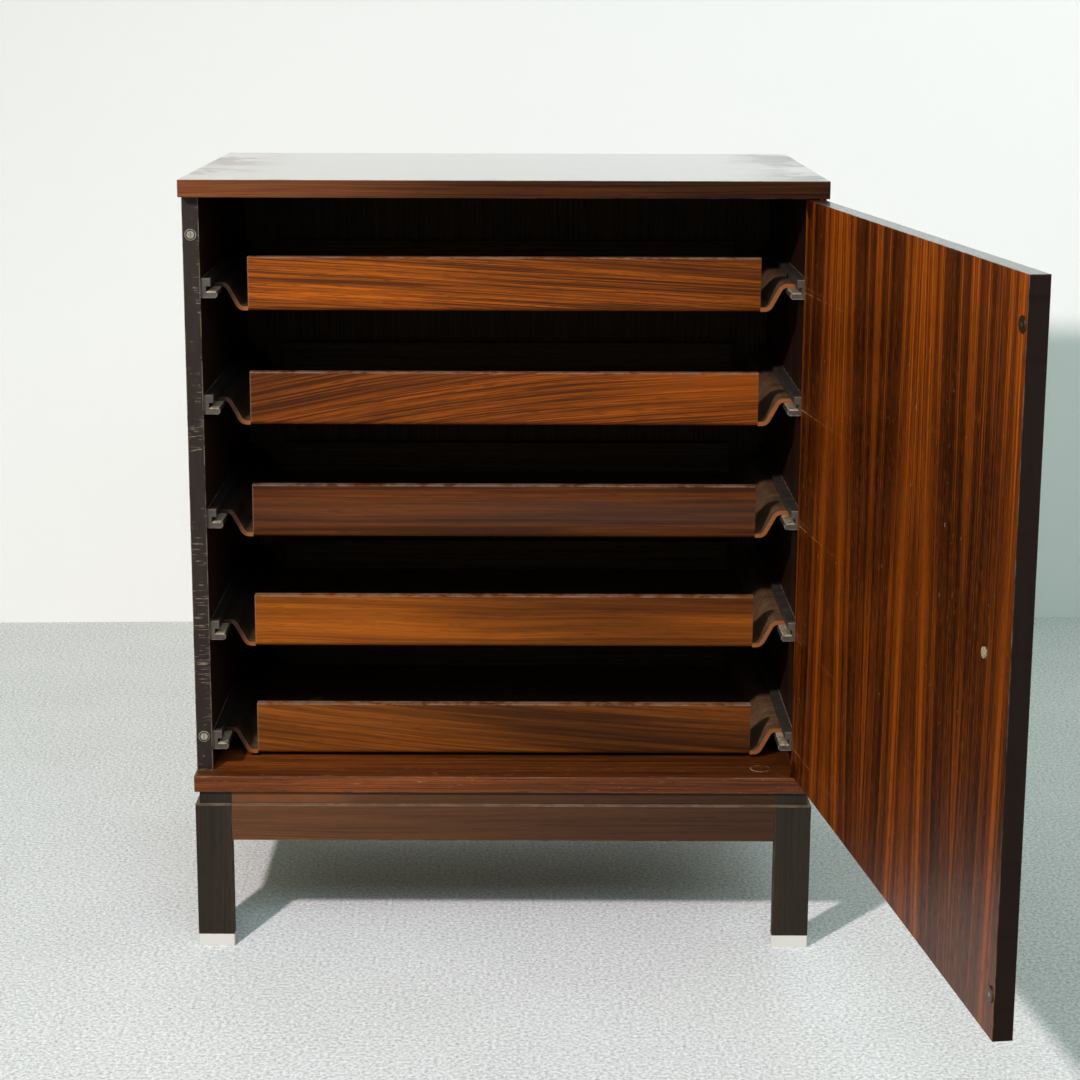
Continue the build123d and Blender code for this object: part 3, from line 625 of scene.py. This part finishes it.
class CABINET_OT_trays(bpy.types.Operator):
    """Finish the moulded plywood shells and the boards at their ends"""

    bl_idname = "cabinet.trays"
    bl_label = "Trays"

    def front(self, n, woods):
        """The front board of one tray, each with its own figure and light."""
        mean, node = tuple(getattr(woods, f"tray_{n}")), f"tray_{n}_front"
        front = lacquer(f"{node}_wood", specular_ior_level=0.1)
        spots = front.place()
        wood(front, spots, GRAIN_X, mean, scale=woods.grain, shift=4.1 * n, gloss=0.48,
             **TRAY_FIGURES[n])
        low, high = box_of(node)
        if n == 1:
            # Painted light: brighter towards the left end.
            front.base = front.dim(front.base, 0.75 + spots[0].rise(0.3, -0.3) * 0.55)
        elif n == 2:
            front.base = front.dim(front.base, 0.85 + spots[0].rise(-0.3, 0.1) * 0.2)
            glow = spots[0].rise(0.05, 0.29) * spots[2].rise(low.z, high.z)
            amber = front.dim(rgb(138, 66, 6), 0.6 + front.fine * 0.8)
            front.base = front.mix(glow * 0.5, front.base, amber)
        elif n == 3:
            band = spots[2].near(low.z + 0.029, 0.024) * (0.55 + spots[0].rise(-0.2, 0.1) * 0.45)
            umber = front.dim(rgb(50, 35, 26), 0.7 + front.fine * 0.6)
            front.base = front.mix(band * 0.6, front.base, umber)
        else:
            # Painted shade: darker towards the right end, brighter at the left.
            painted_shade_right = spots[0].rise(-0.2, 0.16) * (0.5 + front.broad.rise(0.6, 0.4) * 0.6)
            front.base = front.dim(front.base, 1.25 - painted_shade_right * 0.62)
        top = spots[2].rise(high.z - 0.0022, high.z - 0.0004) * patches(front, 60.0, 0.36, 0.6)
        end = spots[0].rise(low.x + 0.0016, low.x + 0.0003)
        rub(front, top.larger(end * 0.6), mid(mean, tuple(woods.worn), 0.6), 0.8 * woods.wear)
        # Painted shade along the lower edge of the front board.
        painted_foot_shade = spots[2].rise(low.z + 0.006, low.z) * front.broad.rise(0.35, 0.6)
        rub(front, painted_foot_shade, darker(mean, 0.4), 0.5)
        give(close(front), node)

    def shell(self, n, woods):
        """The moulded ply of one tray, with its layers on the cut edges."""
        shell = lacquer(f"tray_{n}_shell_ply")
        spots = shell.place()
        wood(shell, spots, GRAIN_X_FLAT, tuple(woods.ply_face), shift=1.9 * n, spread=0.8,
             gloss=0.5)
        cut = abs(shell.facing()[1]).rise(0.7, 0.9)
        layers = shell.streaks(spots, (30, 30, 900))
        edge = shell.dim(tuple(woods.ply_edge), 0.6 + layers * 0.8)
        shell.base = shell.mix(cut, shell.base, edge)
        # Painted shadow of the left side panel on the tray's left wing.
        painted_wing_shadow = abs(spots[0]).rise(0.295, 0.312) * spots[0].rise(0.0, -0.1)
        shell.base = shell.dim(shell.base, 1 - painted_wing_shadow * 0.9)
        give(close(shell), f"tray_{n}_shell")

    def execute(self, context):
        woods = context.scene.cabinet_woods
        for n in TRAYS:
            self.front(n, woods)
            plain_wood(f"tray_{n}_back_wood", f"tray_{n}_back", GRAIN_X, tuple(woods.rear),
                       shift=4.1 * n + 2, spread=0.6, gloss=0.6)
            self.shell(n, woods)
        return {"FINISHED"}


class CABINET_OT_rails(bpy.types.Operator):
    """Finish the grooved rails and the cream glides"""

    bl_idname = "cabinet.rails"
    bl_label = "Rails"

    def execute(self, context):
        woods, fittings = context.scene.cabinet_woods, context.scene.cabinet_fittings
        tone = tuple(fittings.rail)
        # For each side: the share of painted shade on the rail's body, and the amount of wear.
        for side, shade, wear in (("left", 0.9, 0.6), ("right", 0.5, 0.85)):
            for n in TRAYS:
                name = f"{side}_rail_{n}"
                rail = Finish(f"{name}_plastic", specular_ior_level=0.25)
                spots = rail.place()
                low, high = box_of(name)
                here = rail.here()
                cloud = rail.noise(here, 70.0, 5.0, 0.7)
                fine = rail.noise(here, 420.0, 3.0, 0.6)
                base = rail.ramp(cloud, ((0.3, darker(tone, 0.6)), (0.7, darker(tone, 1.25))))
                dust = cloud.rise(0.5, 0.68) * rail.facing()[2].rise(0.5, 0.9)
                base = rail.mix(dust * 0.45, base, rgb(88, 80, 71))
                # Painted shade: behind its front end the rail's body is darkened, by nine tenths on
                # the left and by half on the right.
                painted_shade_body = spots[1].rise(low.y + 0.002, low.y + 0.012)
                base = rail.dim(base, 1 - painted_shade_body * shade)
                worn = arris(spots, low, high, 0.0012) * patches(rail, 60.0, 0.34, 0.54)
                worn = (worn * (wear * woods.wear)).clamped()
                rail.feed("Base Color", rail.mix(worn, base, tuple(woods.worn)))
                rail.feed("Roughness", 0.45 + fine * 0.25)
                rail.bump(fine, 0.0002, 0.4)
                give(rail.material, name)
        nylon = Finish("glide_nylon")
        cloud = nylon.noise(nylon.here(), 220.0, 4.0, 0.7)
        cream = tuple(fittings.nylon)
        grimy = mid(cream, rgb(70, 48, 32), 0.8)
        nylon.feed("Base Color", nylon.ramp(cloud, ((0.38, grimy), (0.58, cream))))
        nylon.feed("Roughness", 0.35 + cloud * 0.3)
        give(nylon.material, "rail_glides", "pivot_washer")
        return {"FINISHED"}


class CABINET_OT_shoes(bpy.types.Operator):
    """Finish the pale shoes under the legs"""

    bl_idname = "cabinet.shoes"
    bl_label = "Leg shoes"

    def execute(self, context):
        tone = tuple(context.scene.cabinet_fittings.shoe)
        shoe = Finish("shoe_plastic")
        height = shoe.place()[2]
        cloud = shoe.noise(shoe.here(), 90.0, 4.0, 0.6)
        scuff = height.rise(0.0022, 0.0) * cloud.rise(0.5, 0.62)
        shoe.feed("Base Color", shoe.mix(scuff * 0.6, tone, rgb(118, 98, 74)))
        shoe.feed("Roughness", 0.4 + cloud * 0.25)
        give(shoe.material, "leg_shoes")
        return {"FINISHED"}


def plated(name, tone, gloss, grime, scale=260.0):
    """A plated metal with grime in it."""
    metal = Finish(name, metallic=1.0)
    cloud = metal.noise(metal.here(), scale, 4.0, 0.65)
    dull = mid(tone, (0.02, 0.015, 0.01), grime)
    metal.feed("Base Color", metal.ramp(cloud, ((0.35, dull), (0.62, tone))))
    metal.feed("Roughness", gloss + (cloud - 0.5) * 0.4)
    metal.bump(cloud, 0.0001, 0.3)
    return metal.material


class CABINET_OT_fittings(bpy.types.Operator):
    """Finish the pivots, catches, strikes and screws"""

    bl_idname = "cabinet.fittings"
    bl_label = "Metal fittings"

    def button(self, tone):
        """A catch button with a dark ring around a bright middle."""
        metal = Finish("magnet_nickel", metallic=0.7)
        x, _, z = metal.place()
        low, high = box_of("catch_magnets")
        middle, radius = (low.z + high.z) / 2, (high.x - low.x) / 2
        dx = x - (low.x + high.x) / 2
        dz = abs(z - middle) - ((high.z - low.z) / 2 - radius)
        spread = (dx * dx + dz * dz) * (1 / radius ** 2)
        ring = spread.near(0.6, 0.34)
        cloud = metal.noise(metal.here(), 500.0, 4.0, 0.65)
        base = metal.ramp(cloud, ((0.35, darker(tone, 0.45)), (0.62, tone)))
        dark = (ring * 0.95).larger(dx.near(0.0, 0.0008) * 0.6)
        metal.feed("Base Color", metal.mix(dark, base, rgb(30, 26, 22)))
        metal.feed("Roughness", 0.25 + ring * 0.3)
        metal.bump(cloud, 0.0001, 0.3)
        return metal.material

    def execute(self, context):
        fittings = context.scene.cabinet_fittings
        steel, nickel = tuple(fittings.steel), tuple(fittings.nickel)
        give(plated("pivot_steel", rgb(104, 50, 20), 0.45, 0.5), "upper_door_plate",
             "lower_door_plate", "upper_pivot_plate", "lower_pivot_plate", "door_plate_screws")
        give(self.button(nickel), "catch_magnets")
        give(plated("strike_steel", rgb(96, 72, 50), 0.4, 0.6), "strike_plates")
        pale = Finish("pull_screw")
        cloud = pale.noise(pale.here(), 700.0, 3.0, 0.6)
        stops = ((0.35, rgb(84, 62, 42)), (0.6, rgb(168, 154, 126)))
        pale.feed("Base Color", pale.ramp(cloud, stops))
        pale.feed("Roughness", 0.35 + cloud * 0.3)
        give(pale.material, "knob_screw")
        give(plated("screw_steel", steel, 0.3, 0.4, 600.0), "strike_screws",
             "pivot_plate_screws", "back_screws", "frame_screws", "rail_screws")
        return {"FINISHED"}


class CABINET_OT_knob(bpy.types.Operator):
    """Polish the turned pull"""

    bl_idname = "cabinet.knob"
    bl_label = "Pull"

    def execute(self, context):
        mean = tuple(context.scene.cabinet_woods.board)
        knob = lacquer("knob_wood", coat_weight=0.4)
        wood(knob, knob.place(), GRAIN_Z_DEEP, mean, gloss=0.3)
        give(close(knob), "door_knob")
        return {"FINISHED"}


def flat_piece(name, corners, material):
    """A flat piece of the stage from its four corners."""
    mesh = bpy.data.meshes.new(name)
    mesh.from_pydata([tuple(corner) for corner in corners], [], [(0, 1, 2, 3)])
    mesh.materials.append(material)
    piece = bpy.data.objects.new(name, mesh)
    bpy.context.scene.collection.objects.link(piece)


# Places on the stage are measured from the carcass's middle on the floor, in metres.
WALL_LEFT, WALL_RIGHT, WALL_HEIGHT = (-4.0, 1.125, 0), (4.0, 1.373, 0), 4.0
FLOOR_LEFT, FLOOR_RIGHT = (-4.0, -4.5, 0), (4.0, -4.5, 0)
LAMPS = {
    "key": dict(place=(-0.965, -1.865, 1.64), aim=(0.1, -0.7, 0.0), tone=(1.0, 0.88, 0.92),
                width=0.13),
    "front": dict(place=(0.4, -2.9, 2.7), aim=(0.2, 0.0, 0.4), tone=(0.68, 0.85, 1.0),
                  width=2.6, depth=1.4),
    "side": dict(place=(2.0, 0.2, 1.9), aim=(0.9, 1.3, 1.3), tone=(0.8, 0.88, 1.0),
                 width=1.6, depth=1.6),
}
ROOM_TONE, WHITE = (0.8, 1.0, 0.62), (1.0, 1.0, 1.0)
CAMERA_PLACE = (0.02601, -2.80301, 1.0957)
CAMERA_TURN = (-0.06, -12.24, 0.16)  # yaw, pitch and roll in degrees
SENSOR_WIDTH, SHIFT_X, SHIFT_Y = 36, 0.0148, -0.0346


def lamp_at(name, power, place, aim, tone, width, depth=None):
    """An area lamp at one place that points to another, round if it has no depth."""
    place, aim = carcass_point(*place), carcass_point(*aim)
    lamp = bpy.data.lights.new(name, "AREA")
    lamp.shape = "RECTANGLE" if depth else "DISK"
    lamp.size = width
    if depth:
        lamp.size_y = depth
    lamp.energy = power
    lamp.color = tone
    stand = bpy.data.objects.new(name, lamp)
    stand.location = place
    stand.rotation_euler = (aim - place).to_track_quat("-Z", "Y").to_euler()
    bpy.context.scene.collection.objects.link(stand)
    return lamp


class CABINET_OT_stage(bpy.types.Operator):
    """Set the floor, the wall, the lamps and the camera"""

    bl_idname = "cabinet.stage"
    bl_label = "Stage"

    def floor_and_wall(self, stage):
        """A pale felt floor, and a wall that is see-through from behind."""
        felt = tuple(stage.floor)
        floor = Finish("floor_felt", roughness=0.95, specular_ior_level=0.05)
        here = floor.here()
        fibres = floor.noise(here, 230.0, 4.0, 0.8)
        cloud = floor.noise(here, 5.0, 3.0, 0.6)
        shades = ((0.34, darker(felt, 0.5)), (0.5, felt), (0.66, darker(felt, 1.36)))
        floor.feed("Base Color", floor.ramp(fibres * 0.94 + cloud * 0.06, shades))
        floor.bump(fibres, 0.002, 0.4)
        wall = Finish("wall_paint", base_color=(*stage.wall, 1), roughness=0.9,
                      specular_ior_level=0.05)
        away = wall.add("ShaderNodeNewGeometry", output="Backfacing")
        paint = Value(wall.tree, wall.shader.outputs[0])
        clear = wall.add("ShaderNodeBsdfTransparent")
        seen = wall.add("ShaderNodeMixShader", None, {0: away, 1: paint, 2: clear})
        wall.link(seen, "Material Output", "Surface")
        left, right = carcass_point(*WALL_LEFT), carcass_point(*WALL_RIGHT)
        up = Vector((0, 0, WALL_HEIGHT))
        flat_piece("stage_wall", (left, right, right + up, left + up), wall.material)
        near_left, near_right = carcass_point(*FLOOR_LEFT), carcass_point(*FLOOR_RIGHT)
        flat_piece("stage_floor", (near_left, near_right, right, left), floor.material)

    def lights(self, context, stage):
        """Three lamps, of which the key keeps its strength over distance, and the room."""
        for name, lamp in LAMPS.items():
            lamp = lamp_at(f"{name}_lamp", getattr(stage, name), **lamp)
            if name == "key":
                lamp.use_nodes = True
                tree = Nodes(lamp.node_tree)
                even = tree.add("ShaderNodeLightFalloff", None, {"Strength": 1.0}, "Constant")
                tree.link(even, "Emission", "Strength")
        world = bpy.data.worlds.new("room")
        context.scene.world = world
        world.use_nodes = True
        sky = Nodes(world.node_tree)
        rays = ("Is Camera Ray", "Is Glossy Ray", "Is Transmission Ray")
        camera, glossy, through = (sky.add("ShaderNodeLightPath", output=ray) for ray in rays)
        pale = mid(tuple(stage.wall), WHITE, 0.55)
        shown = camera.larger(glossy).larger(through)
        sky.link(sky.mix(shown, darker(ROOM_TONE, stage.room), pale), "Background", "Color")

    def camera(self, context, stage):
        """The photograph's own view."""
        lens = bpy.data.cameras.new("camera")
        lens.lens = stage.lens
        lens.sensor_width = SENSOR_WIDTH
        lens.shift_x, lens.shift_y = SHIFT_X, SHIFT_Y
        camera = bpy.data.objects.new("camera", lens)
        yaw, pitch, roll = (math.radians(angle) for angle in CAMERA_TURN)
        flat = math.cos(pitch)
        ahead = Vector((math.sin(yaw) * flat, math.cos(yaw) * flat, math.sin(pitch)))
        level = Vector((math.cos(yaw), -math.sin(yaw), 0))
        above = level.cross(ahead)
        across = level * math.cos(roll) + above * math.sin(roll)
        above = above * math.cos(roll) - level * math.sin(roll)
        turn = Matrix((across, above, -ahead)).transposed().to_4x4()
        camera.matrix_world = Matrix.Translation(carcass_point(*CAMERA_PLACE)) @ turn
        context.scene.collection.objects.link(camera)
        context.scene.camera = camera

    def execute(self, context):
        stage = context.scene.cabinet_stage
        self.floor_and_wall(stage)
        self.lights(context, stage)
        self.camera(context, stage)
        context.scene.view_settings.view_transform = "Standard"
        return {"FINISHED"}


class CABINET_PT_panel(bpy.types.Panel):
    """Steps and settings of the cabinet"""

    bl_idname = "CABINET_PT_panel"
    bl_label = "Tray cabinet"
    bl_space_type = "VIEW_3D"
    bl_region_type = "UI"
    bl_category = "Cabinet"

    def draw(self, context):
        for step in STEPS:
            self.layout.operator(step.bl_idname)
        scene = context.scene
        for settings in (scene.cabinet_woods, scene.cabinet_fittings, scene.cabinet_stage):
            box = self.layout.box()
            for name in settings.__annotations__:
                box.prop(settings, name)


STEPS = (
    CABINET_OT_stage,
    CABINET_OT_boards,
    CABINET_OT_sides,
    CABINET_OT_door,
    CABINET_OT_leg_frame,
    CABINET_OT_trays,
    CABINET_OT_rails,
    CABINET_OT_shoes,
    CABINET_OT_fittings,
    CABINET_OT_knob,
)
CLASSES = (CabinetWoods, CabinetFittings, CabinetStage, *STEPS, CABINET_PT_panel)


def register():
    for cls in CLASSES:
        bpy.utils.register_class(cls)
    bpy.types.Scene.cabinet_woods = PointerProperty(type=CabinetWoods)
    bpy.types.Scene.cabinet_fittings = PointerProperty(type=CabinetFittings)
    bpy.types.Scene.cabinet_stage = PointerProperty(type=CabinetStage)


def unregister():
    del bpy.types.Scene.cabinet_woods
    del bpy.types.Scene.cabinet_fittings
    del bpy.types.Scene.cabinet_stage
    for cls in reversed(CLASSES):
        bpy.utils.unregister_class(cls)


def main():
    register()
    for step in STEPS:
        getattr(bpy.ops.cabinet, step.bl_idname.split(".")[1])()


if __name__ == "__main__":
    main()
